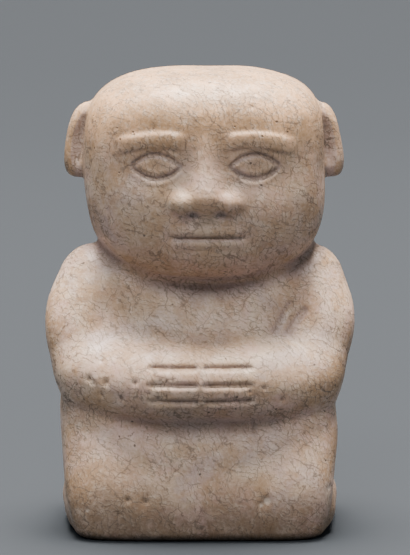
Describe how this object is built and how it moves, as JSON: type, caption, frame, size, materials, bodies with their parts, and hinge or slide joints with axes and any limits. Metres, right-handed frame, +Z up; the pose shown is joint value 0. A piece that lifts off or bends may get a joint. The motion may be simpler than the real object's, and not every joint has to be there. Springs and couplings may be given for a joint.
{
  "type": "kneeling figurine",
  "caption": "Small stone figurine of a kneeling figure with a broad flat-topped head, forearms laid across the belly and a flat underside.",
  "frame": {"origin": "middle of the figure's box, on the flat underside it stands on", "axes": "+Z up through the crown, the figure faces -Y, +X is the figure's left side, on the viewer's right"},
  "size_m": [0.0534, 0.0446, 0.08],
  "materials": {
    "pale_stone": "satin, hand polished, crackled and stained by burial"
  },
  "bodies": {
    "root": {"kneeling_figurine": "pale_stone"}
  },
  "joints": []
}
